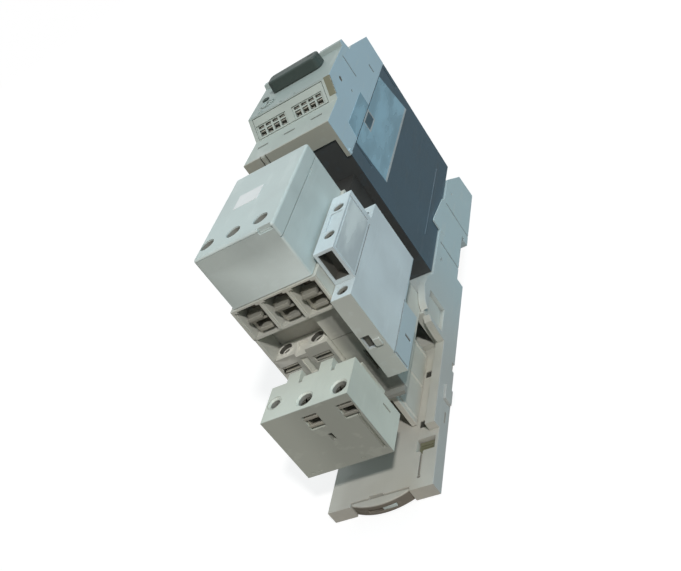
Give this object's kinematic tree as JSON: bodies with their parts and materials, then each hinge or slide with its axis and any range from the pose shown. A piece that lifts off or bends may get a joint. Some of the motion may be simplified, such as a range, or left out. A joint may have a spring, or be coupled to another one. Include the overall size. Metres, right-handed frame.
{
  "type": "motor starter",
  "caption": "Motor starter: rotary circuit breaker, contactor with side contact block and feeder terminals on a long plate that clips to a rail.",
  "frame": {"origin": "middle of the mounting plate's back face, on the latch's stop post", "axes": "+Z towards the device's front, +Y towards the line end, +X to the right seen from the front"},
  "size_m": [0.0531, 0.2142, 0.1248],
  "materials": {
    "plate_grey": "satin moulded",
    "front_grey": "satin moulded",
    "contact_grey": "satin moulded",
    "case_dark": "satin moulded",
    "handle_dark": "satin moulded",
    "feeder_white": "satin moulded",
    "inner_black": "matt moulded",
    "inner_cream": "matt moulded",
    "steel": "zinc plated",
    "copper": "bare",
    "core_steel": "laminated"
  },
  "bodies": {
    "starter": {"mounting_plate": "plate_grey", "contactor_support": "plate_grey", "breaker_cover": "front_grey", "contactor_cover": "front_grey", "contactor_lid": "front_grey", "aux_housing": "front_grey", "front_contact_block": "contact_grey", "contactor_base": "contact_grey", "contactor_body": "contact_grey", "coil_terminal_block": "contact_grey", "breaker_case": "case_dark", "link_module": "case_dark", "feeder_block": "feeder_white", "switch_mechanism": "inner_black", "coil_bobbin": "inner_cream", "arc_chamber_1": "inner_cream", "arc_chamber_2": "inner_cream", "arc_chamber_3": "inner_cream", "return_spring": "steel", "line_terminal_1": "steel", "line_terminal_2": "steel", "line_terminal_3": "steel", "line_screw_1": "steel", "line_screw_2": "steel", "line_screw_3": "steel", "load_terminal_1": "steel", "load_terminal_2": "steel", "load_terminal_3": "steel", "load_screw_1": "steel", "load_screw_2": "steel", "load_screw_3": "steel", "aux_screw_1": "steel", "aux_screw_2": "steel", "aux_screw_3": "steel", "coil_screw_1": "steel", "coil_screw_2": "steel", "feeder_clamp_1": "steel", "feeder_clamp_2": "steel", "feeder_screw_1": "steel", "feeder_screw_2": "steel", "coil_winding": "copper", "trip_unit_1": "copper", "trip_unit_2": "copper", "trip_unit_3": "copper", "link_bar_1": "copper", "link_bar_2": "copper", "link_bar_3": "copper", "fixed_core": "core_steel"},
    "handle": {"breaker_handle": "handle_dark", "handle_shaft": "steel"},
    "dial": {"setting_dial": "feeder_white"},
    "button": {"test_button": "handle_dark"},
    "breaker_contacts": {"breaker_contact_bar": "inner_black"},
    "carrier": {"contact_carrier": "inner_black", "armature": "core_steel", "contact_bridge_1": "copper", "contact_bridge_2": "copper", "contact_bridge_3": "copper"},
    "side_slider": {"aux_carrier": "inner_black"},
    "latch": {"rail_latch": "plate_grey"}
  },
  "joints": [
    {"name": "handle_turn", "type": "hinge", "parent": "starter", "child": "handle", "pos_m": [0, 0.054, 0.119], "axis": [0, 0, -1], "range_deg": [0, 90]},
    {"name": "dial_turn", "type": "hinge", "parent": "starter", "child": "dial", "pos_m": [-0.014, 0.0389, 0.119], "axis": [0, 0, 1], "range_deg": [-240, 0]},
    {"name": "button_press", "type": "slide", "parent": "starter", "child": "button", "axis": [0, 0, -1], "range_m": [0, 0.001], "stiffness_N_per_m": 600, "springref_m": -0.0005},
    {"name": "breaker_contacts_turn", "type": "hinge", "parent": "starter", "child": "breaker_contacts", "pos_m": [0, 0.054, 0.054], "axis": [1, 0, 0], "range_deg": [0, 20]},
    {"name": "carrier_slide", "type": "slide", "parent": "starter", "child": "carrier", "axis": [0, 0, -1], "range_m": [0, 0.003], "stiffness_N_per_m": 900, "springref_m": -0.003},
    {"name": "side_slider_slide", "type": "slide", "parent": "starter", "child": "side_slider", "axis": [0, 0, -1], "range_m": [0, 0.003]},
    {"name": "latch_slide", "type": "slide", "parent": "starter", "child": "latch", "axis": [0, -1, 0], "range_m": [0, 0.005], "stiffness_N_per_m": 1200, "springref_m": -0.001}
  ],
  "couplings": [
    {"joint": "breaker_contacts_turn", "follows": "handle_turn", "ratio": 0.22222},
    {"joint": "side_slider_slide", "follows": "carrier_slide", "ratio": 1}
  ]
}
